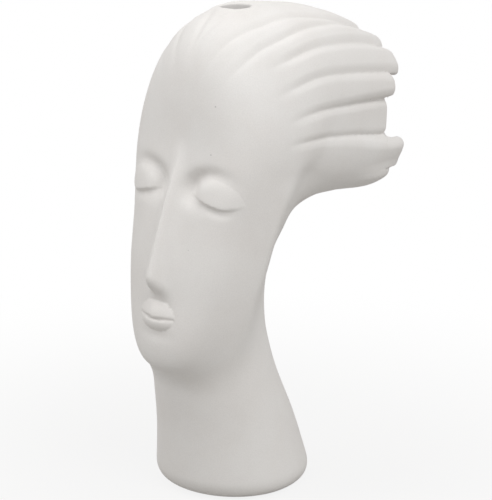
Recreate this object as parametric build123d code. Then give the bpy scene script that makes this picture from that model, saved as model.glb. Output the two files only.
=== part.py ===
"""Face vase: a hollow bisque head on a leaning neck, hair swept back in locks, stem mouth in the crown.

Millimetres. The base centre is the origin, +Z is up, the face looks along -Y and +X is the face's own left.
"""
import math
import os

from build123d import *

os.makedirs("parts", exist_ok=True)

# Driving dimensions
WALL = 6.0
MOUTH_RADIUS = 9.0
PLATE_RADIUS = 37.0
PLATE_THICKNESS = 6.0
LUTING_GAP = 0.15
FOOT_RADIUS = 47.0
FOOT_ROUND = 6.0
HAIR_CORE_END = 88.0
MOUTH_Y = 3.5
RIM_TOP = 301.6
RIM_RADIUS = 11.5

# Body stations from the foot, up the leaning neck, round the face and crown, back along the hair core:
# nape point (y, z), face point (y, z), half width, place of the widest point between the two, and how square
# the section is towards the face and towards the nape (2 is an ellipse)
BODY_STATIONS = [
    ((FOOT_RADIUS, 0.0), (-FOOT_RADIUS, 0.0), FOOT_RADIUS, 0.50, 2.0, 2.0),
    ((45.3, 22.0), (-47.5, 22.0), 44.0, 0.52, 2.0, 2.0),
    ((37.5, 46.0), (-50.0, 46.0), 40.8, 0.52, 2.0, 2.0),
    ((27.5, 69.0), (-53.2, 69.0), 38.0, 0.51, 2.05, 2.0),
    ((22.3, 82.0), (-57.3, 82.0), 36.8, 0.51, 2.1, 2.0),
    ((19.3, 91.0), (-64.0, 91.0), 37.0, 0.53, 2.1, 2.0),
    ((16.0, 103.0), (-65.8, 103.0), 39.8, 0.56, 2.2, 1.95),
    ((13.4, 117.2), (-62.3, 126.3), 44.8, 0.57, 2.4, 1.85),
    ((12.9, 132.5), (-56.4, 161.3), 50.4, 0.55, 2.5, 1.85),
    ((15.4, 147.5), (-49.3, 192.2), 55.0, 0.52, 2.65, 1.85),
    ((22.0, 160.2), (-43.2, 221.5), 57.8, 0.52, 2.65, 1.85),
    ((30.0, 167.5), (-38.3, 258.4), 59.2, 0.51, 2.3, 1.85),
    ((38.7, 173.0), (-25.0, 288.0), 59.0, 0.48, 2.05, 1.9),
    ((47.0, 177.0), (-4.5, 299.3), 57.0, 0.49, 2.0, 2.05),
    ((56.0, 181.0), (18.5, 299.8), 53.5, 0.50, 2.2, 2.2),
    ((65.0, 184.5), (48.0, 289.0), 48.5, 0.50, 2.35, 2.3),
    ((75.0, 187.0), (72.0, 279.5), 45.0, 0.50, 2.4, 2.3),
    ((HAIR_CORE_END, 189.5), (HAIR_CORE_END, 270.0), 40.5, 0.50, 2.4, 2.3),
]
SECTION_COUNT = 30

# Hair locks: upper edge, lower edge (degrees from the crown line), tip, lift at the tip
HAIR_AXIS_Z = 232.0
LOCK_START = 22.0
LOCK_ROLL = 5.0
LOCK_THICKNESS = 15.0
LOCKS = [
    (10.0, 28.0, 93.0, 0.8),
    (28.0, 44.5, 104.0, 1.6),
    (44.5, 63.5, 106.5, 1.6),
    (63.5, 81.5, 99.0, 2.4),
    (81.5, 105.0, 91.5, -1.6),
    (105.0, 127.5, 108.0, 3.4),
    (127.5, 141.0, 98.0, 0.8),
]
CENTRE_LOCK_TIP = 91.0


def power_angle(c, p):
    return math.copysign(abs(c) ** (2.0 / p), c)


def mirrored_outline(points):
    """Closed outline from one half, which starts and ends on the middle plane."""
    points[0] = (0.0,) + tuple(points[0][1:])
    points[-1] = (0.0,) + tuple(points[-1][1:])
    other = [(-x, y, z) for x, y, z in reversed(points)]
    one = Spline(points, tangents=[(1, 0, 0), (-1, 0, 0)])
    two = Spline(other, tangents=[(-1, 0, 0), (1, 0, 0)])
    return Wire([one, two])


def body_section(station, inset):
    """Oval across the body, from the face point round to the nape point, drawn in by the inset."""
    nape, face, half, widest, square_front, square_back = station
    dy = nape[0] - face[0]
    dz = nape[1] - face[1]
    length = math.hypot(dy, dz)
    uy = dy / length
    uz = dz / length
    cy = nape[0] - dy * widest
    cz = nape[1] - dz * widest
    points = []
    for k in range(17):
        a = -math.pi / 2 + math.pi * k / 16
        back = math.sin(a) > 0
        power = square_back if back else square_front
        reach = length * (widest if back else 1 - widest) - inset
        s = reach * power_angle(math.sin(a), power)
        points.append(((half - inset) * power_angle(math.cos(a), power), cy + s * uy, cz + s * uz))
    return mirrored_outline(points)


def smooth(x, xs, ys):
    """Cubic through the given stations."""
    n = len(xs)
    i = 0
    while i < n - 2 and x > xs[i + 1]:
        i += 1
    slope = [(ys[k + 1] - ys[k]) / (xs[k + 1] - xs[k]) for k in range(n - 1)]

    def tangent(k):
        if k == 0:
            return slope[0]
        if k == n - 1:
            return slope[-1]
        before = xs[k] - xs[k - 1]
        after = xs[k + 1] - xs[k]
        return (slope[k - 1] * after + slope[k] * before) / (before + after)

    h = xs[i + 1] - xs[i]
    t = (x - xs[i]) / h
    a = (2 * t**3 - 3 * t**2 + 1) * ys[i] + (t**3 - 2 * t**2 + t) * h * tangent(i)
    b = (3 * t**2 - 2 * t**3) * ys[i + 1] + (t**3 - t**2) * h * tangent(i + 1)
    return a + b


def even_stations(count, first, last):
    """Stations at even steps along the middle of the body, from the first to the last share of its length."""
    flat = [list(row[0]) + list(row[1]) + list(row[2:]) for row in BODY_STATIONS]
    along = [0.0]
    for p, q in zip(flat, flat[1:]):
        step = math.hypot(q[0] + q[2] - p[0] - p[2], q[1] + q[3] - p[1] - p[3]) / 2
        along.append(along[-1] + step)
    stations = []
    for k in range(count):
        s = along[-1] * (first + (last - first) * k / (count - 1))
        v = [smooth(s, along, [row[c] for row in flat]) for c in range(8)]
        stations.append(((v[0], v[1]), (v[2], v[3]), v[4], v[5], v[6], v[7]))
    return stations


def body_solid():
    return Solid.make_loft([body_section(s, 0.0) for s in even_stations(SECTION_COUNT, 0.0, 1.0)])


def foot_rounding():
    """Ring of clay wiped off the bottom edge."""
    inner = FOOT_RADIUS - FOOT_ROUND
    arc = ThreePointArc((inner, 0, 0), (FOOT_RADIUS - 1.7, 0, 1.8), (FOOT_RADIUS + 1.2, 0, FOOT_ROUND + 1.5))
    outside = Polyline([
        (FOOT_RADIUS + 1.2, 0, FOOT_ROUND + 1.5),
        (FOOT_RADIUS + 9, 0, FOOT_ROUND + 1.5),
        (FOOT_RADIUS + 9, 0, -2),
        (inner, 0, -2),
        (inner, 0, 0),
    ])
    return Solid.revolve(Face(Wire([arc] + list(outside.edges()))), 360, Axis.Z)


def hollow_solid():
    """Inside of the casting: a ledge over the base plate, then an even wall up to the hair core."""
    ledge = ((46.5, PLATE_THICKNESS), (-46.5, PLATE_THICKNESS), 46.5, 0.50, 2.0, 2.0)
    sections = [body_section(ledge, 13.0)]
    for station in even_stations(SECTION_COUNT - 4, 0.06, 0.965):
        sections.append(body_section(station, WALL))
    return Solid.make_loft(sections)


def ellipsoid(rx, ry, rz, x, y, z):
    return Pos(x, y, z) * scale(Sphere(1.0), (rx, ry, rz))


def hair_top(y):
    return 301.0 - 0.0034 * (y - 17.0) ** 2


def hair_bottom(y):
    return 179.5 + 0.0035 * (y - 60.0) ** 2


def hair_half(y):
    return 57.3 - 0.0012 * (y - 15.0) ** 2


def hair_radius(angle, y):
    """Distance from the hair axis to the outside of the hair mass."""
    top = hair_top(y)
    bottom = hair_bottom(y)
    mid = (top + bottom) / 2
    reach = (top - bottom) / 2
    low, high = 5.0, 90.0
    for _ in range(40):
        r = (low + high) / 2
        x = r * math.sin(angle)
        z = HAIR_AXIS_Z + r * math.cos(angle) - mid
        if abs(x / hair_half(y)) ** 2.4 + abs(z / reach) ** 2.4 > 1.0:
            high = r
        else:
            low = r
    return r


def lock_section(upper, lower, y, lift, shrink):
    grow = max(0.0, (y - 5.0) / 85.0) ** 1.3
    mean = hair_radius(math.radians((upper + lower) / 2), y)
    base = mean + grow * lift - LOCK_THICKNESS
    outer = []
    inner = []
    for k in range(7):
        t = k / 6
        a = math.radians(upper - 1.0 + (lower - upper + 2.0) * t)
        roll = 0.25 - abs(2 * t - 1) ** 2.4
        r = hair_radius(a, y) + grow * (lift + LOCK_ROLL * roll)
        outer.append((r * math.sin(a), r * math.cos(a)))
        inner.append((base * math.sin(a), base * math.cos(a)))
    points = outer + inner
    cx = sum(p[0] for p in points) / len(points)
    cz = sum(p[1] for p in points) / len(points)

    def place(p):
        return (cx + (p[0] - cx) * shrink, y, HAIR_AXIS_Z + cz + (p[1] - cz) * shrink)

    outer = [place(p) for p in outer]
    inner = [place(p) for p in inner]
    edges = [Spline(outer), Line(outer[-1], inner[-1]), Spline(inner[::-1]), Line(inner[0], outer[0])]
    return Wire(edges)


def wedge(upper, lower):
    """Space between the two faces of a lock, from the hair axis outwards."""
    reach = 130.0
    shift = LUTING_GAP / math.sin(math.radians((lower - upper) / 2))
    middle = math.radians((upper + lower) / 2)
    start = (shift * math.sin(middle), HAIR_AXIS_Z + shift * math.cos(middle))
    corners = [start]
    for angle in (upper, (upper + lower) / 2, lower):
        a = math.radians(angle)
        corners.append((start[0] + reach * math.sin(a), start[1] + reach * math.cos(a)))
    outline = Polyline([(x, LOCK_START, z) for x, z in corners], close=True)
    return Solid.extrude(Face(Wire(outline)), Vector(0, 120, 0))


def lock_solid(upper, lower, tip, lift):
    stations = [(LOCK_START - 4.0, 1.0), (40.0, 1.0), (58.0, 1.0), (tip - 15.0, 1.0)]
    stations += [(tip - 7.0, 0.96), (tip - 2.5, 0.82), (tip, 0.56)]
    lock = Solid.make_loft([lock_section(upper, lower, y, lift, s) for y, s in stations])
    return lock.intersect(wedge(upper, lower))[0]


def nose_section(half, ridge, root, z):
    """One slice of the nose: a narrow ridge with sides that run back into the cheek."""
    points = [(0, ridge, z), (half * 0.45, ridge + 1.6, z), (half, root, z)]
    points += [(half * 0.6, root + 6, z), (0, root + 8, z)]
    return mirrored_outline(points)


def keep(shape, name):
    solids = shape.solids()
    largest = max(solids, key=lambda s: s.volume)
    largest.label = name
    export_step(largest, "parts/" + name + ".step")
    print(name, round(largest.volume), len(solids), largest.is_valid)
    return largest


# The castings part along a plane that runs from under the chin to behind the stem mouth
seam_low = Vector(0, -57.0, 83.5)
seam_high = Vector(0, 19.0, 300.0)
along = (seam_high - seam_low).normalized()
seam = Plane(origin=seam_low, x_dir=(1, 0, 0), z_dir=Vector(1, 0, 0).cross(along))

body = body_solid()
body = body.cut(foot_rounding())
hollow = hollow_solid()
print("body", body.volume, body.is_valid, body.bounding_box())
print("hollow", hollow.volume, hollow.is_valid, hollow.bounding_box())
front = body.split(seam, keep=Keep.TOP)
rear = body.split(seam, keep=Keep.BOTTOM)
print("front", front.volume, front.bounding_box())
print("rear", rear.volume, rear.bounding_box())

nose = Solid.make_loft([
    nose_section(5.0, -46.5, -42.0, 219.0),
    nose_section(6.5, -53.2, -45.0, 203.0),
    nose_section(8.0, -62.7, -52.0, 173.0),
    nose_section(9.5, -72.2, -58.5, 143.0),
    nose_section(7.5, -67.5, -58.0, 136.0),
], True)
rim = Pos(0, MOUTH_Y, RIM_TOP - 2.3) * Cone(RIM_RADIUS + 2.5, RIM_RADIUS, 4.6)
face = front
for side in (1, -1):
    socket = Pos(side * 25.0, -48.8, 200.0) * Rot(-12, 0, 0) * scale(Sphere(1.0), (18.5, 6.0, 15.0))
    face = face.cut(socket)
    print("socket", face.volume, len(face.solids()))
features = [nose, rim]
features.append(ellipsoid(13.0, 4.8, 5.6, 0, -62.4, 124.0))
features.append(ellipsoid(11.5, 4.8, 4.2, 0, -62.6, 116.2))
for side in (1, -1):
    lid = Pos(side * 29.5, -40.5, 197.0) * Rot(0, 0, side * 15.0)
    features.append(lid * scale(Sphere(1.0), (16.5, 7.1, 10.5)))
for feature in features:
    face = face.fuse(feature)
    print("feature", face.volume, len(face.solids()))
face = face.cut(hollow)
face = face.cut(Pos(0, MOUTH_Y, 290) * Cylinder(MOUTH_RADIUS, 60))
face = keep(face, "face_casting")

neck = rear.cut(hollow)
neck = neck.cut(Pos(0, 0, PLATE_THICKNESS / 2) * Cylinder(PLATE_RADIUS + LUTING_GAP, PLATE_THICKNESS))
neck = keep(neck, "neck_casting")
plate = Pos(0, 0, PLATE_THICKNESS / 2) * Cylinder(PLATE_RADIUS, PLATE_THICKNESS)
plate = keep(plate, "base_plate")

centre = lock_solid(-10.0, 10.0, CENTRE_LOCK_TIP, 0.5)
centre = keep(centre.cut(body), "hair_lock_centre")
for number, (upper, lower, tip, lift) in enumerate(LOCKS, 1):
    lock = lock_solid(upper, lower, tip, lift)
    keep(lock.cut(body), "hair_lock_left_%d" % number)
    keep(lock.mirror(Plane.YZ).cut(body), "hair_lock_right_%d" % number)
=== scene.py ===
"""Face vase in matte bisque: the clay skin is sculpted as one implicit form, meshed once, and parted into
the castings, the base plate and the hair locks, so that every luted joint closes without a visible seam."""
import math

import bpy
import numpy as np
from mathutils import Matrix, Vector


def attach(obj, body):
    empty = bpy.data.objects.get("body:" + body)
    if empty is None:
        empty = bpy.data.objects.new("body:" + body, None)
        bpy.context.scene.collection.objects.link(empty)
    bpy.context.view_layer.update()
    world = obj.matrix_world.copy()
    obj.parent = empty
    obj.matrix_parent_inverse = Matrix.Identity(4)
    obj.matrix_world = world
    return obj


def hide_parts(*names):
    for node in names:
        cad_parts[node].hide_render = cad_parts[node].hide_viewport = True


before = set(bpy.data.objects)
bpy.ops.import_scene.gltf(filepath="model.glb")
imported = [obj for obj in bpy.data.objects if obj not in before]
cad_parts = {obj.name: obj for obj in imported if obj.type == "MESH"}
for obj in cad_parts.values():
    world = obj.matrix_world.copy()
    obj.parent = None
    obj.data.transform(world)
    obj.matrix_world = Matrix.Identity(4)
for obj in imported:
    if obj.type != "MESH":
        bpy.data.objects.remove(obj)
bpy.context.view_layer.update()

# Lengths below are millimetres until a mesh is made
MM = 0.001
CELL = 1.2
BOX_LOW = (-66, -80, -6)
BOX_HIGH = (66, 116, 306)
WALL = 6.0
PLATE_RADIUS = 37.0
GAP = 0.15
# Stem mouth: bore and its end inside, landed rim, and where the inner face stops below the rim
MOUTH_Y = 3.5
MOUTH_RADIUS = 9.0
BORE_END = 294.5
RIM_TOP = 300.9
RIM_INNER = 293.0
# Hair: axis that the lock angles turn about, the core's end, the Y from which locks are pieces of their own,
# how deep a lock is and how much less at its tip, and the wall of its mesh
HAIR_AXIS_Z = 232.0
CORE_END = 88.0
LOCK_START = 22.0
LOCK_DEEP = 15.0
TIP_THINNER = 6.0
LOCK_WALL = 3.5
# Seam plane between the castings, as two points (y, z)
SEAM_LOW = (-57.0, 83.5)
SEAM_HIGH = (19.0, 300.0)


# Small tools for implicit forms: negative inside, about a distance in millimetres near the surface
def smin(a, b, k):
    h = np.maximum(k - np.abs(a - b), 0.0) / k
    return np.minimum(a, b) - h * h * k * 0.25


def smax(a, b, k):
    return -smin(-a, -b, k)


def ease(a, b, x):
    t = np.clip((x - a) / (b - a), 0.0, 1.0)
    return t * t * (3 - 2 * t)


def curve(x, xs, ys):
    """Smooth line through given stations."""
    xs = np.asarray(xs, float)
    ys = np.asarray(ys, float)
    gap = np.diff(xs)
    slope = np.diff(ys) / gap
    tangent = np.empty_like(ys)
    tangent[1:-1] = (slope[:-1] * gap[1:] + slope[1:] * gap[:-1]) / (xs[2:] - xs[:-2])
    tangent[0] = slope[0]
    tangent[-1] = slope[-1]
    x = np.clip(x, xs[0], xs[-1])
    i = np.clip(np.searchsorted(xs, x, side="right") - 1, 0, len(xs) - 2)
    h = gap[i]
    t = (x - xs[i]) / h
    low = (2 * t**3 - 3 * t**2 + 1) * ys[i] + (t**3 - 2 * t**2 + t) * h * tangent[i]
    high = (3 * t**2 - 2 * t**3) * ys[i + 1] + (t**3 - t**2) * h * tangent[i + 1]
    return low + high


# Head: ovals at heights, with half width, middle, reach to the front and back, and how square the front is
HEAD_Z = [75, 100, 125, 150, 175, 200, 225, 250, 275, 305]
HEAD_HALF = [34.5, 39.6, 43.8, 47.4, 50.0, 55.5, 59.8, 61.0, 60.7, 58.0]
HEAD_MID = [-37, -34, -31, -25.4, -18.5, -10, -2.4, 1, 2, 2]
HEAD_FRONT = [38.4, 35.2, 32.0, 33.3, 34.9, 37.7, 41.5, 46.2, 51.2, 56.0]
HEAD_BACK = [20.0, 18.0, 17.0, 16.0, 16.0, 22.0, 43.0, 56.0, 62.0, 64.0]
HEAD_SQUARE = [2.3, 2.4, 2.5, 2.55, 2.65, 2.8, 2.8, 2.55, 2.3, 2.2]
HEAD_WIDEST = 195.0
HEAD_TOP = 299.3
CHIN = 80.6
JAW_RISE = 1.05
# Neck: ovals at heights
NECK_Z = [0, 40, 80, 120, 160, 200]
NECK_MID = [0.0, -7.0, -16.4, -21.8, -22.2, -20.0]
NECK_HALF = [49.4, 41.8, 36.6, 34.0, 32.5, 36.0]
NECK_FRONT = [46.6, 42.3, 37.8, 31.8, 21.0, 12.0]
NECK_BACK = [53.0, 47.4, 39.2, 34.0, 31.0, 33.0]
# Hair mass: ovals along Y
HAIR_Y = [-30, 0, 30, 60, 90, 110]
HAIR_TOP = [285.0, 299.0, 299.2, 294.8, 283.0, 272.0]
HAIR_BOTTOM = [200.0, 189.0, 182.4, 179.8, 183.0, 188.0]
HAIR_HALF = [45.0, 57.0, 57.0, 54.0, 50.0, 47.0]
# Edges between the locks, from the crown line down: degrees from it at stations along Y, where the crease
# starts, how deep it gets, and how much of that it has soon after its start
EDGE_Y = [-34, -12, 15, 50, 90, 110]
EDGES = [
    ([1, 5, 8.5, 9, 10, 10.5], -44, 2.0, 0.6),
    ([20, 22.5, 23.5, 26.5, 28.5, 29], -44, 2.0, 0.6),
    ([42, 36.5, 34.5, 31.5, 29.5, 29.5], -40, 2.2, 0.6),
    ([52, 49, 46, 44.3, 44, 44], -16, 3.2, 0.5),
    ([69, 66, 61.5, 62, 65, 67], -18, 3.0, 0.5),
    ([86, 84, 80, 80, 82, 84], -12, 3.4, 0.5),
    ([99, 97, 97, 102, 111, 112.5], -16, 3.0, 0.5),
    ([114, 116, 121, 128, 131, 134], 50, 0.4, 0.1),
    ([134, 135, 138, 143, 147, 149], 40, 1.0, 0.1),
]
# Locks between those edges: tip, how square its end is, lift at the tip
LOCKS = [
    (91.0, 6.0, 0.5),
    (93.0, 6.0, 0.8),
    (84.0, 6.0, 0.8),
    (104.0, 6.5, 1.6),
    (106.5, 6.0, 1.6),
    (96.0, 6.0, 2.4),
    (89.5, 2.5, -1.6),
    (108.0, 7.0, 3.4),
    (97.5, 3.5, 3.4),
]


def head(x, y, z):
    """Long oval head, flat-fronted, with a jaw that rises towards the nape."""
    u = y + 46.0
    jaw = np.minimum(CHIN - 1.0 + JAW_RISE * 0.5 * (u + np.sqrt(u * u + 150.0)), 150.0)
    over = z > HEAD_WIDEST
    t = np.abs(z - HEAD_WIDEST) / np.where(over, HEAD_TOP - HEAD_WIDEST, HEAD_WIDEST - jaw)
    n = np.where(over, 2.2, 5.0)
    mid = curve(z, HEAD_Z, HEAD_MID)
    half = curve(z, HEAD_Z, HEAD_HALF)
    ahead = y < mid
    reach = np.where(ahead, curve(z, HEAD_Z, HEAD_FRONT), curve(z, HEAD_Z, HEAD_BACK))
    p = np.where(ahead, curve(z, HEAD_Z, HEAD_SQUARE), 2.0 + 0.4 * ease(170.0, 240.0, z))
    q = (np.abs(x / half) ** p + np.abs((y - mid) / reach) ** p) ** (n / p) + t**n
    q = np.maximum(q, 1e-9) ** (1 / n)
    rho = np.sqrt(x * x + (y - mid) ** 2 + (z - HEAD_WIDEST) ** 2)
    return rho * (1 - 1 / np.maximum(q, 1e-3))


def neck(x, y, z):
    """Leaning neck that widens to the foot."""
    mid = curve(z, NECK_Z, NECK_MID)
    half = curve(z, NECK_Z, NECK_HALF)
    reach = np.where(y < mid, curve(z, NECK_Z, NECK_FRONT), curve(z, NECK_Z, NECK_BACK))
    q = np.sqrt((x / half) ** 2 + ((y - mid) / reach) ** 2)
    rho = np.sqrt(x * x + (y - mid) ** 2)
    f = rho * (1 - 1 / np.maximum(q, 1e-3))
    f = smax(f, -z, 13.0)
    return smax(f, z - 210.0, 10.0)


def hair_mass(x, y, z):
    """Hair swept back, without locks; squarer in its lower half."""
    top = curve(y, HAIR_Y, HAIR_TOP)
    low = curve(y, HAIR_Y, HAIR_BOTTOM)
    half = curve(y, HAIR_Y, HAIR_HALF)
    mid = (top + low) / 2
    reach = (top - low) / 2
    p = 2.4 + 0.8 * ease(0.0, 0.5, (mid - z) / reach)
    q = (np.abs(x / half) ** p + np.abs((z - mid) / reach) ** p) ** (1 / p)
    rho = np.sqrt(x * x + (z - mid) ** 2)
    return rho * (1 - 1 / np.maximum(q, 1e-3))


def head_and_hair(x, y, z):
    k = 12.0 + 14.0 * ease(222.0, 188.0, z)
    return smin(head(x, y, z), smax(hair_mass(x, y, z), -y, 30.0), k)


def with_neck(f, x, y, z):
    k = np.clip(9 + (y + 58) * 0.9, 8, 64)
    k = 8 + (k - 8) * (1 - ease(165.0, 235.0, z))
    return smin(f, neck(x, y, z), k)


def plain_body(x, y, z):
    """Head, hair core and neck without face or locks."""
    f = smax(head_and_hair(x, y, z), y - CORE_END, 8.0)
    return with_neck(f, x, y, z)


def locks(x, y, z, base):
    """Each lock on its own, then the core under them."""
    angle = np.degrees(np.arctan2(np.abs(x), z - HAIR_AXIS_Z))
    arc = np.radians(1.0) * np.maximum(np.hypot(x, z - HAIR_AXIS_Z), 12.0)
    grow = np.clip((y - 5.0) / 85.0, 0.0, 1.3) ** 1.3
    wide = curve(y, [-40, 0, 50, 100], [5.5, 5.2, 5.6, 6.4])
    lap = 6.0 - 3.5 * ease(-20.0, 50.0, y)
    sides = []
    groove = 0.0
    lift = LOCKS[0][2]
    for i, (degrees, start, most, soon) in enumerate(EDGES):
        side = (angle - curve(y, EDGE_Y, degrees)) * arc
        deep = most * (soon * ease(start, start + 28.0, y) + (1 - soon) * ease(start + 10.0, 92.0, y))
        groove = groove + deep * np.maximum(0.0, 1.06 - np.sqrt((side / wide) ** 2 + 0.025)) ** 2
        after = LOCKS[i + 1][2] if i + 1 < len(LOCKS) else 0.0
        lift = lift + (after - LOCKS[i][2]) * ease(-1.6, 1.6, side)
        sides.append(side)
    tail = ease(-7.0, 5.0, sides[-2]) * ease(2.5, -2.5, sides[-1])
    outer = base - grow * lift - 3.7 * tail * ease(52.0, 90.0, y) + groove
    found = []
    for i, (tip, square, _) in enumerate(LOCKS):
        f = smax(outer, y - tip, square)
        if i > 0:
            free = LOCKS[i - 1][0]
            side = lap - 2.4 * ease(free - 26.0, free - 8.0, y)
            side = side - 0.4 * np.maximum(0.0, -outer) * ease(free - 1.0, free + 8.0, y)
            f = smax(f, -sides[i - 1] - side, 2.0 + 4.0 * ease(free - 6.0, free, y))
        free = LOCKS[min(i + 1, len(LOCKS) - 1)][0]
        f = smax(f, sides[i] - lap + 2.4 * ease(free - 26.0, free - 8.0, y), 2.0)
        deep = LOCK_DEEP - TIP_THINNER * ease(tip - 36.0, tip - 18.0, y)
        found.append(smax(f, -outer - deep, 6.0))
    core = base + 6.0 * ease(0.0, 14.0, -sides[-1])
    return found, smax(core, y - CORE_END, 6.0)


def hair(x, y, z, base):
    """The base with locks and core in place of its hair."""
    f = base.copy()
    near = (y > -46.0) & (base < 14.0)
    if near.any():
        found, g = locks(x[near], y[near], z[near], base[near])
        for lock in found:
            g = np.minimum(g, lock)
        f[near] = g
    return f


# Nose: the ridge's Y at heights, and the tip (y, z). Eyes: middle, half width and half height of the socket's
# ring, its depth at degrees round the ring, and the lash line. Lips: the height of the line between them
NOSE_Z = [120, 143, 180, 195, 205, 214, 232]
NOSE_RIDGE = [-80.2, -72.8, -60.8, -55.2, -50.2, -44.8, -32.0]
NOSE_TIP = (-72.2, 140.5)
EYE_X = 28.5
EYE_Z = 197.5
EYE_HALF = 16.0
EYE_HIGH = 11.0
SOCKET_TURN = [-85, -20, 15, 60, 100, 140, 170, 200, 230, 265]
SOCKET_DEPTH = [0, 0, 0.2, 1.0, 2.6, 4.6, 5.4, 4.2, 1.4, 0]
LASH_X = [8, 13, 22, 29, 36, 42, 47, 52]
LASH_Z = [195.0, 194.2, 192.4, 190.5, 189.0, 189.4, 191.2, 194.0]
LIP_Z = 119.4


def eye_relief(ax, z):
    """Height of the face about the eyes: a socket that is deepest beside the nose, and a closed lid."""
    u = (ax - EYE_X) / EYE_HALF
    v = (z - EYE_Z) / EYE_HIGH
    ring = np.hypot(u, v)
    turn = np.degrees(np.arctan2(v, u))
    turn = np.where(turn < -90.0, turn + 360.0, turn)
    depth = curve(turn, SOCKET_TURN, SOCKET_DEPTH)
    socket = depth * np.exp(-(((ring - 0.98) / 0.38) ** 2)) * ease(0.0, 0.35, ring)
    lash = curve(ax, LASH_X, LASH_Z)
    lid = np.maximum(0.0, 1.0 - ((ax - 29.0) / 19.0) ** 2 - ((z - 190.0) / 16.0) ** 2)
    lid = 1.6 * lid * ease(-1.0, 1.2, z - lash)
    below = np.maximum(0.0, 1.0 - ((ax - 30.0) / 15.0) ** 2)
    below = 0.9 * np.exp(-(((z - lash + 2.6) / 2.6) ** 2)) * below
    return lid - socket - below


def lip_relief(ax, z):
    """Height of the face about the mouth: two lips, the line between them and the hollow under them."""
    line = LIP_Z + 0.9 * (ax / 13.0) ** 2 - 0.5 * np.exp(-((ax / 3.0) ** 2))
    top = 1.0 - (ax / 14.6) ** 2 - ((z - 120.5) / (10.0 - 1.0 * np.exp(-((ax / 3.5) ** 2)))) ** 2
    low = 1.0 - (ax / 13.4) ** 2 - ((z - 118.6) / 6.9) ** 2
    top = 6.0 * np.maximum(top, 0.0) ** 0.8
    low = 5.4 * np.maximum(low, 0.0) ** 0.75
    bulge = 2.0 * np.exp(-((ax / 17.0) ** 2) - ((z - 119.0) / 13.0) ** 2)
    part = ease(-0.7, 0.7, z - line)
    shut = 2.2 * np.exp(-(((z - line) / 1.1) ** 2)) * np.maximum(0.0, 1.0 - (ax / 14.5) ** 2) ** 0.7
    under = 1.6 * np.exp(-((ax / 11.0) ** 2) - ((z - 109.0) / 3.8) ** 2)
    return bulge + top * part + low * (1 - part) - shut - under


def face(f, x, y, z):
    """Sockets, lids, lips and nose."""
    ax = np.abs(x)
    f = f - eye_relief(ax, z) - lip_relief(ax, z)
    d = y - curve(z, NOSE_Z, NOSE_RIDGE)
    w = 1.4 + 1.4 * ease(200.0, 140.0, z)
    nose = smax((ax - w) * 0.94 - d * 0.34, -d * 0.95, 4.5)
    nose = smax(nose, -0.6 * (y - NOSE_TIP[0]) - 0.8 * (z - NOSE_TIP[1]), 7.0)
    nose = smax(nose, d - 18.0, 3.0)
    nose = smax(nose, z - 236.0, 6.0)
    return smin(f, nose, 7.0)


def from_mouth(x, y):
    return np.hypot(x, y - MOUTH_Y)


def vase(x, y, z):
    """The whole outside, with the stem mouth."""
    f = hair(x, y, z, head_and_hair(x, y, z))
    f = with_neck(f, x, y, z)
    front = (y < -20.0) & (f < 40.0)
    if front.any():
        f[front] = face(f[front], x[front], y[front], z[front])
    out = from_mouth(x, y)
    land = np.exp(-((out / 14.0) ** 4)) * ease(275.0, 290.0, z)
    f = f * (1 - land) + (z - RIM_TOP) * land
    bore = np.maximum(out - MOUTH_RADIUS, 285.0 - z)
    return smax(f, -bore, 1.6)


def gradient(f, p, e=0.25):
    """Slope of f at the points p, by central differences."""
    g = np.empty_like(p)
    for i in range(3):
        d = np.zeros(3)
        d[i] = e
        g[:, i] = (f(*(p + d).T) - f(*(p - d).T)) / (2 * e)
    return g


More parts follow.
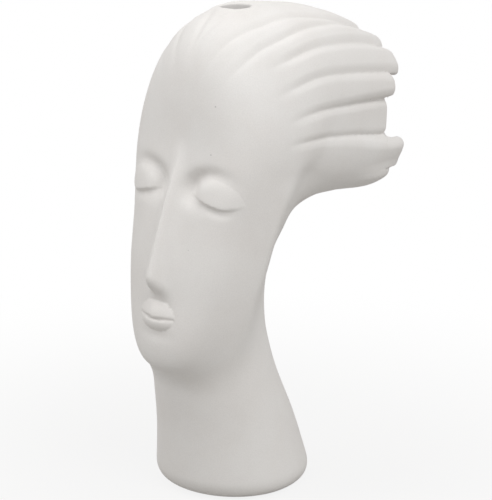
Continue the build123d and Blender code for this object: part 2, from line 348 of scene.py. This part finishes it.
# Meshing: one vertex in each cell that the surface crosses, drawn onto the surface
def skin_of(f, low, high, cell):
    """Points and quads of the surface where f is 0."""
    low = np.asarray(low, float)
    count = np.ceil((np.asarray(high, float) - low) / cell).astype(int) + 1
    # f on a coarse grid, then on the fine one in the blocks that lie near the surface
    block = 4
    count = ((count - 1) // block + 1) * block + 1
    axes = [low[i] + cell * np.arange(count[i]) for i in range(3)]
    rough = [a[::block] for a in axes]
    grid = np.meshgrid(*rough, indexing="ij")
    coarse = f(*[g.ravel() for g in grid]).reshape(grid[0].shape)
    reach = np.abs(coarse) < cell * block * 1.5
    near = np.zeros(np.array(coarse.shape) - 1, bool)
    corners = [(i, j, k) for i in (0, 1) for j in (0, 1) for k in (0, 1)]
    n = near.shape
    for i, j, k in corners:
        near |= reach[i:n[0] + i, j:n[1] + j, k:n[2] + k]
    fine = np.repeat(np.repeat(np.repeat(coarse, block, 0), block, 1), block, 2)
    fine = fine[:count[0], :count[1], :count[2]].copy()
    use = np.zeros(fine.shape, bool)
    for b in np.argwhere(near) * block:
        use[b[0]:b[0] + block + 1, b[1]:b[1] + block + 1, b[2]:b[2] + block + 1] = True
    at = np.argwhere(use)
    value = np.empty(len(at))
    for start in range(0, len(at), 200000):
        part = at[start:start + 200000]
        value[start:start + 200000] = f(*(low + part * cell).T)
    fine[use] = value
    # a point in each crossed cell, at the mean of the places where its edges are crossed
    inside = fine < 0
    m = np.array(fine.shape) - 1
    total = np.zeros(m, np.int8)
    for i, j, k in corners:
        total += inside[i:m[0] + i, j:m[1] + j, k:m[2] + k]
    cells = np.argwhere((total > 0) & (total < 8))
    number = -np.ones(m, int)
    number[tuple(cells.T)] = np.arange(len(cells))
    place = np.zeros((len(cells), 3))
    hits = np.zeros(len(cells))
    for a in corners:
        for axis in range(3):
            if a[axis]:
                continue
            b = list(a)
            b[axis] = 1
            va = fine[tuple((cells + a).T)]
            vb = fine[tuple((cells + b).T)]
            cross = (va < 0) != (vb < 0)
            t = np.where(cross, va / np.where(cross, va - vb, 1.0), 0.0)
            point = np.array(a, float) + np.eye(3)[axis] * t[:, None]
            place += point * cross[:, None]
            hits += cross
    place = low + (cells + place / hits[:, None]) * cell
    # a quad across each crossed grid edge
    quads = []
    for axis in range(3):
        one = [slice(1, -1)] * 3
        one[axis] = slice(0, -1)
        two = list(one)
        two[axis] = slice(1, None)
        sa = inside[tuple(one)]
        sb = inside[tuple(two)]
        start = np.array([1, 1, 1])
        start[axis] = 0
        for sign in (True, False):
            e = np.argwhere((sa != sb) & (sa == sign)) + start
            u = np.eye(3, dtype=int)[(axis + 1) % 3]
            v = np.eye(3, dtype=int)[(axis + 2) % 3]
            ring = [e - u - v, e - v, e, e - u]
            ids = np.stack([number[tuple(c.T)] for c in ring], 1)
            quads.append(ids if sign else ids[:, ::-1])
    quads = np.concatenate(quads)
    quads = quads[(quads >= 0).all(1)]
    # the points settle on the surface
    for _ in range(4):
        g = gradient(f, place)
        move = f(*place.T)[:, None] * g / np.maximum((g * g).sum(1, keepdims=True), 0.05)
        size = np.linalg.norm(move, axis=1, keepdims=True)
        place -= move * np.minimum(1.0, 0.5 * cell / np.maximum(size, 1e-9))
    return place, quads


def triangles(p, quads):
    """Each quad parted along its shorter diagonal."""
    a = np.linalg.norm(p[quads[:, 0]] - p[quads[:, 2]], axis=1)
    b = np.linalg.norm(p[quads[:, 1]] - p[quads[:, 3]], axis=1)
    first = np.where((a <= b)[:, None], quads[:, [0, 1, 2]], quads[:, [0, 1, 3]])
    second = np.where((a <= b)[:, None], quads[:, [0, 2, 3]], quads[:, [1, 2, 3]])
    return np.concatenate([first, second])


def cut(p, tris, value):
    """Triangles parted where value is 0; returns the points and the two sides."""
    value = np.where(np.abs(value) < 1e-4, 1e-4, value)
    sign = value[tris] > 0
    mixed = sign.any(1) & ~sign.all(1)
    t = tris[mixed]
    s = sign[mixed]
    lone = np.where(s.sum(1) == 1, s.argmax(1), (~s).argmax(1))
    k = np.arange(len(t))
    a = t[k, lone]
    b = t[k, (lone + 1) % 3]
    c = t[k, (lone + 2) % 3]
    pairs = np.concatenate([np.sort(np.stack([a, b], 1), 1), np.sort(np.stack([a, c], 1), 1)])
    unique, back = np.unique(pairs, axis=0, return_inverse=True)
    back = back.ravel()
    va = value[unique[:, 0]]
    vb = value[unique[:, 1]]
    share = (va / (va - vb))[:, None]
    fresh = p[unique[:, 0]] * (1 - share) + p[unique[:, 1]] * share
    ab = len(p) + back[:len(t)]
    ac = len(p) + back[len(t):]
    lone_up = value[a] > 0
    tip = np.stack([a, ab, ac], 1)
    rest = np.concatenate([np.stack([ab, b, c], 1), np.stack([ab, c, ac], 1)])
    rest_up = np.concatenate([~lone_up, ~lone_up])
    up = np.concatenate([tris[sign.all(1)], tip[lone_up], rest[rest_up]])
    down = np.concatenate([tris[~sign.any(1)], tip[~lone_up], rest[~rest_up]])
    return np.concatenate([p, fresh]), up, down


def shell(p, normal, inner, tris):
    """Closed piece: the skin, the same skin drawn inwards, and walls along its edges."""
    used, ids = np.unique(tris, return_inverse=True)
    t = ids.reshape(-1, 3)
    n = len(used)
    edges = np.concatenate([t[:, [0, 1]], t[:, [1, 2]], t[:, [2, 0]]])
    key = np.sort(edges, 1)
    order = key[:, 0].astype(np.int64) * n + key[:, 1]
    _, first, count = np.unique(order, return_index=True, return_counts=True)
    rim = edges[first[count == 1]]
    # the walls have points of their own, so that the rim keeps a crisp edge
    rim_ids, where = np.unique(rim, return_inverse=True)
    where = where.reshape(-1, 2)
    m = len(rim_ids)
    points = np.concatenate([p[used], inner[used], p[used][rim_ids], inner[used][rim_ids]])
    a = 2 * n + where[:, 0]
    b = 2 * n + where[:, 1]
    walls = np.concatenate([np.stack([b, a, a + m], 1), np.stack([b, a + m, b + m], 1)])
    faces = np.concatenate([t, t[:, ::-1] + n, walls])
    return points, faces, normal[used]


def to_object(name, points, faces, outside=None):
    """Smooth mesh object; outside holds the first points' normals."""
    mesh = bpy.data.meshes.new(name)
    mesh.vertices.add(len(points))
    mesh.vertices.foreach_set("co", (points * MM).astype(np.float32).ravel())
    mesh.loops.add(len(faces) * 3)
    mesh.loops.foreach_set("vertex_index", faces.astype(np.int32).ravel())
    mesh.polygons.add(len(faces))
    mesh.polygons.foreach_set("loop_start", np.arange(0, len(faces) * 3, 3, dtype=np.int32))
    mesh.update(calc_edges=True)
    mesh.validate()
    mesh.polygons.foreach_set("use_smooth", np.ones(len(mesh.polygons), bool))
    if outside is not None:
        own = np.empty(len(mesh.vertices) * 3, np.float32)
        mesh.vertices.foreach_get("normal", own)
        own = own.reshape(-1, 3)
        own[:len(outside)] = outside
        mesh.normals_split_custom_set_from_vertices(own.tolist())
    piece = bpy.data.objects.new(name, mesh)
    bpy.context.scene.collection.objects.link(piece)
    return piece


# The skin, parted into the pieces
points, quads = skin_of(vase, BOX_LOW, BOX_HIGH, CELL)
skin = triangles(points, quads)


# Values that change sign where the skin is cut: the bore's end, the plate's rim and the castings' seam
def bore_value(p):
    crown = (from_mouth(p[:, 0], p[:, 1]) < MOUTH_RADIUS + 2.0) & (p[:, 2] > 270.0)
    return np.where(crown, p[:, 2] - BORE_END, 10.0)


def plate_value(p):
    r = np.hypot(p[:, 0], p[:, 1])
    return np.where(p[:, 2] < 3.0, r - PLATE_RADIUS - GAP, 10.0)


def seam_value(p):
    dy = SEAM_HIGH[0] - SEAM_LOW[0]
    dz = SEAM_HIGH[1] - SEAM_LOW[1]
    return ((p[:, 1] - SEAM_LOW[0]) * dz - (p[:, 2] - SEAM_LOW[1]) * dy) / math.hypot(dy, dz)


points, skin, _ = cut(points, skin, bore_value(points))
points, skin, _ = cut(points, skin, plate_value(points))
points, rear, front = cut(points, skin, seam_value(points))
points, back, rear = cut(points, rear, points[:, 1] - LOCK_START)
normal = gradient(vase, points)
normal /= np.maximum(np.linalg.norm(normal, axis=1, keepdims=True), 1e-9)

# Which lock, or the core, each point of the hair belongs to; the sliver beside the first lock goes with it
OWNER = [0, 1, 1, 2, 3, 4, 5, 6, 7]
names = ["core", "hair_lock_centre"]
for i in range(1, 8):
    names += ["hair_lock_left_%d" % i, "hair_lock_right_%d" % i]
fields = np.full((len(points), len(names)), 50.0)
behind = np.unique(back)
px, py, pz = points[behind].T
found, core = locks(px, py, pz, head_and_hair(px, py, pz))
fields[behind, 0] = np.where(pz < 178.0, -50.0, core)
for lock, i in zip(found, OWNER):
    column = 1 if i == 0 else np.where(px >= 0, 2 * i, 2 * i + 1)
    fields[behind, column] = np.minimum(fields[behind, column], lock)
owner = fields.argmin(1)[back]
plain = (owner[:, 0] == owner[:, 1]) & (owner[:, 1] == owner[:, 2])
best = np.where(plain, owner[:, 0], fields[back].mean(1).argmin(1))
groups = [back[best == i] for i in range(len(names))]

# Inner face: an even wall in the castings, a thinner one in the locks, straight down round the mouth
inner = points.copy()
for _ in range(4):
    g = gradient(plain_body, inner)
    inner -= (plain_body(*inner.T) + WALL)[:, None] * g / np.maximum((g * g).sum(1, keepdims=True), 0.1)
move = inner - points
size = np.linalg.norm(move, axis=1, keepdims=True)
inner = points + move * np.minimum(1.0, 14.0 / np.maximum(size, 1e-9))
lip = (from_mouth(points[:, 0], points[:, 1]) < 16.0) & (points[:, 2] > 280.0)
inner[lip] = points[lip] * (1, 1, 0) + np.array([0, 0, 1]) * RIM_INNER
foot = points[:, 2] < WALL + 3.0
reach = np.maximum(np.hypot(*points[foot, :2].T), 1e-6)
inner[foot, :2] = points[foot, :2] * np.minimum(1.0, (PLATE_RADIUS + 1.0) / reach)[:, None]
inner[foot, 2] = np.maximum(inner[foot, 2], WALL + 0.2)
thin = points - LOCK_WALL * normal

# Pieces, each with the node of the part that it stands for
pieces = [("face_casting", to_object("face_shell", *shell(points, normal, inner, front)))]
nape = np.concatenate([rear, groups[0]])
pieces.append(("neck_casting", to_object("neck_shell", *shell(points, normal, inner, nape))))
for i in range(1, len(names)):
    pieces.append((names[i], to_object(names[i] + "_clay", *shell(points, normal, thin, groups[i]))))

# Base plate: a slab with softened edges
profile = [(0, 0.15), (12, 0.12), (26, 0.05), (34.5, 0.0), (36.2, 0.12), (36.8, 0.5)]
profile += [(PLATE_RADIUS, 1.2), (PLATE_RADIUS, 5.0), (36.6, 5.7), (35.8, 6.0), (20, 6.0), (0, 6.0)]
turns = 96
rings = []
for k in range(turns):
    a = 2 * math.pi * k / turns
    rings.append([(rr * math.cos(a), rr * math.sin(a), zz) for rr, zz in profile])
rings = np.array(rings)
count = len(profile)
plate_faces = []
for k in range(turns):
    j = (k + 1) % turns
    for c in range(count - 1):
        a, b, d, e = k * count + c, j * count + c, j * count + c + 1, k * count + c + 1
        if c < count - 2:
            plate_faces.append((a, e, d))
        if c > 0:
            plate_faces.append((a, d, b))
pieces.append(("base_plate", to_object("base_slab", rings.reshape(-1, 3), np.array(plate_faces))))


# Material: matte bisque, a warm off-white body with faint mottling, fine tooth and a few pinholes; the
# pinholes are dented, and their colour is darkened with painted shade
def bisque():
    material = bpy.data.materials.new("bisque")
    material.use_nodes = True
    tree = material.node_tree
    tree.nodes.clear()

    def node(kind, **values):
        made = tree.nodes.new(kind)
        for key, value in values.items():
            setattr(made, key, value)
        return made

    def join(a, b):
        tree.links.new(a, b)

    output = node("ShaderNodeOutputMaterial")
    shader = node("ShaderNodeBsdfPrincipled")
    join(shader.outputs["BSDF"], output.inputs["Surface"])
    place = node("ShaderNodeNewGeometry").outputs["Position"]
    mottle = node("ShaderNodeTexNoise")
    mottle.inputs["Scale"].default_value = 22.0
    mottle.inputs["Detail"].default_value = 5.0
    mottle.inputs["Roughness"].default_value = 0.6
    join(place, mottle.inputs["Vector"])
    tint = node("ShaderNodeValToRGB")
    tint.color_ramp.elements[0].position = 0.3
    tint.color_ramp.elements[0].color = (0.80, 0.775, 0.752, 1)
    tint.color_ramp.elements[1].position = 0.7
    tint.color_ramp.elements[1].color = (0.84, 0.825, 0.808, 1)
    join(mottle.outputs["Fac"], tint.inputs["Fac"])
    grain = node("ShaderNodeTexNoise")
    grain.inputs["Scale"].default_value = 1500.0
    grain.inputs["Detail"].default_value = 3.0
    join(place, grain.inputs["Vector"])
    speck = node("ShaderNodeMapRange")
    speck.inputs["From Min"].default_value = 0.3
    speck.inputs["From Max"].default_value = 0.7
    speck.inputs["To Min"].default_value = 0.965
    speck.inputs["To Max"].default_value = 1.02
    join(grain.outputs["Fac"], speck.inputs["Value"])
    pits = node("ShaderNodeTexVoronoi")
    pits.inputs["Scale"].default_value = 45.0
    join(place, pits.inputs["Vector"])
    # Painted shade: the colour is darkened inside each pinhole, and the same value drives the pinhole's bump
    pit_depth_and_shade = node("ShaderNodeMapRange")
    pit_depth_and_shade.inputs["From Min"].default_value = 0.012
    pit_depth_and_shade.inputs["From Max"].default_value = 0.03
    pit_depth_and_shade.inputs["To Min"].default_value = 0.72
    pit_depth_and_shade.inputs["To Max"].default_value = 1.0
    join(pits.outputs["Distance"], pit_depth_and_shade.inputs["Value"])
    # The grain's speckle tone times the painted shade of the pinholes
    speck_and_pit_shade = node("ShaderNodeMath", operation="MULTIPLY")
    join(speck.outputs["Result"], speck_and_pit_shade.inputs[0])
    join(pit_depth_and_shade.outputs["Result"], speck_and_pit_shade.inputs[1])
    colour = node("ShaderNodeMix", data_type="RGBA", blend_type="MULTIPLY")
    colour.inputs["Factor"].default_value = 1.0
    join(tint.outputs["Color"], colour.inputs["A"])
    join(speck_and_pit_shade.outputs["Value"], colour.inputs["B"])
    join(colour.outputs["Result"], shader.inputs["Base Color"])
    rough = node("ShaderNodeMapRange")
    rough.inputs["To Min"].default_value = 0.72
    rough.inputs["To Max"].default_value = 0.90
    join(mottle.outputs["Fac"], rough.inputs["Value"])
    join(rough.outputs["Result"], shader.inputs["Roughness"])
    shader.inputs["Specular IOR Level"].default_value = 0.3
    tooth = node("ShaderNodeBump")
    tooth.inputs["Strength"].default_value = 0.10
    tooth.inputs["Distance"].default_value = 0.0004
    join(grain.outputs["Fac"], tooth.inputs["Height"])
    hollow = node("ShaderNodeBump")
    hollow.inputs["Strength"].default_value = 0.5
    hollow.inputs["Distance"].default_value = 0.0006
    join(pit_depth_and_shade.outputs["Result"], hollow.inputs["Height"])
    join(tooth.outputs["Normal"], hollow.inputs["Normal"])
    join(hollow.outputs["Normal"], shader.inputs["Normal"])
    return material


clay = bisque()
for node_name, piece in pieces:
    piece.data.materials.append(clay)
    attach(piece, "root")
    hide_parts(node_name)


# Stage: a pale floor that runs out into white
def seen_white(tree):
    """1 for rays from the camera, mirrored or through glass too: these see the white background."""
    path = tree.nodes.new("ShaderNodeLightPath")
    seen = path.outputs["Is Camera Ray"]
    for kind in ("Is Glossy Ray", "Is Transmission Ray"):
        either = tree.nodes.new("ShaderNodeMath")
        either.operation = "MAXIMUM"
        tree.links.new(seen, either.inputs[0])
        tree.links.new(path.outputs[kind], either.inputs[1])
        seen = either.outputs["Value"]
    return seen


def pale_floor():
    material = bpy.data.materials.new("pale_floor")
    material.use_nodes = True
    tree = material.node_tree
    tree.nodes.clear()
    output = tree.nodes.new("ShaderNodeOutputMaterial")
    paper = tree.nodes.new("ShaderNodeBsdfDiffuse")
    paper.inputs["Color"].default_value = (0.47, 0.46, 0.445, 1)
    white = tree.nodes.new("ShaderNodeEmission")
    white.inputs["Color"].default_value = (1, 1, 1, 1)
    white.inputs["Strength"].default_value = 1.0
    mix = tree.nodes.new("ShaderNodeMixShader")
    place = tree.nodes.new("ShaderNodeNewGeometry")
    far = tree.nodes.new("ShaderNodeVectorMath")
    far.operation = "LENGTH"
    fade = tree.nodes.new("ShaderNodeMapRange")
    fade.interpolation_type = "SMOOTHSTEP"
    fade.inputs["From Min"].default_value = 0.06
    fade.inputs["From Max"].default_value = 0.42
    fade.inputs["To Min"].default_value = 0.86
    fade.inputs["To Max"].default_value = 1.0
    share = tree.nodes.new("ShaderNodeMath")
    share.operation = "MULTIPLY"
    tree.links.new(place.outputs["Position"], far.inputs[0])
    tree.links.new(far.outputs["Value"], fade.inputs["Value"])
    tree.links.new(fade.outputs["Result"], share.inputs[0])
    tree.links.new(seen_white(tree), share.inputs[1])
    tree.links.new(share.outputs["Value"], mix.inputs["Fac"])
    tree.links.new(paper.outputs["BSDF"], mix.inputs[1])
    tree.links.new(white.outputs["Emission"], mix.inputs[2])
    tree.links.new(mix.outputs["Shader"], output.inputs["Surface"])
    return material


floor_mesh = bpy.data.meshes.new("floor")
floor_mesh.from_pydata([(-6, -6, 0), (6, -6, 0), (6, 6, 0), (-6, 6, 0)], [], [(0, 1, 2, 3)])
floor = bpy.data.objects.new("floor", floor_mesh)
floor.location.z = -0.0004
bpy.context.scene.collection.objects.link(floor)
floor_mesh.materials.append(pale_floor())

world = bpy.data.worlds.new("studio")
bpy.context.scene.world = world
world.use_nodes = True
tree = world.node_tree
tree.nodes.clear()
out = tree.nodes.new("ShaderNodeOutputWorld")
mix = tree.nodes.new("ShaderNodeMixShader")
light = tree.nodes.new("ShaderNodeBackground")
light.inputs["Color"].default_value = (1.0, 0.995, 0.985, 1)
light.inputs["Strength"].default_value = 0.52
white = tree.nodes.new("ShaderNodeBackground")
white.inputs["Color"].default_value = (1, 1, 1, 1)
white.inputs["Strength"].default_value = 1.0
tree.links.new(seen_white(tree), mix.inputs["Fac"])
tree.links.new(light.outputs["Background"], mix.inputs[1])
tree.links.new(white.outputs["Background"], mix.inputs[2])
tree.links.new(mix.outputs["Shader"], out.inputs["Surface"])


# Soft lamps: position, aim, diameter in metres and power in watts
def area(name, at, aim, size, power):
    lamp = bpy.data.lights.new(name, "AREA")
    lamp.shape = "DISK"
    lamp.size = size
    lamp.energy = power
    made = bpy.data.objects.new(name, lamp)
    made.location = at
    made.rotation_euler = (Vector(aim) - Vector(at)).to_track_quat("-Z", "Y").to_euler()
    bpy.context.scene.collection.objects.link(made)


area("key", (1.10, -0.15, 1.40), (0, 0, 0.14), 1.1, 11.5)
area("front", (-0.70, -0.95, 1.50), (0, 0, 0.16), 1.2, 10.5)
area("top", (0.0, 0.10, 1.75), (0, 0, 0.15), 1.3, 0.5)

# Camera at the photograph's angle; its focal length and shift are in pixels of a picture PIXELS wide
PIXELS = 500.0
SENSOR = 36.0
AIM_Z = 0.150
azimuth = math.radians(45.0)
height = math.radians(16.0)
distance = 1.3
camera = bpy.data.cameras.new("camera")
camera.lens = 2099.0 / PIXELS * SENSOR
camera.sensor_width = SENSOR
camera.shift_x = 14.6 / PIXELS
camera.shift_y = -2.4 / PIXELS
view = bpy.data.objects.new("camera", camera)
view.location = (
    distance * math.sin(azimuth) * math.cos(height),
    -distance * math.cos(azimuth) * math.cos(height),
    AIM_Z + distance * math.sin(height),
)
view.rotation_euler = (math.pi / 2 - height, 0.0, azimuth)
bpy.context.scene.collection.objects.link(view)
bpy.context.scene.camera = view
bpy.context.scene.view_settings.view_transform = "Standard"
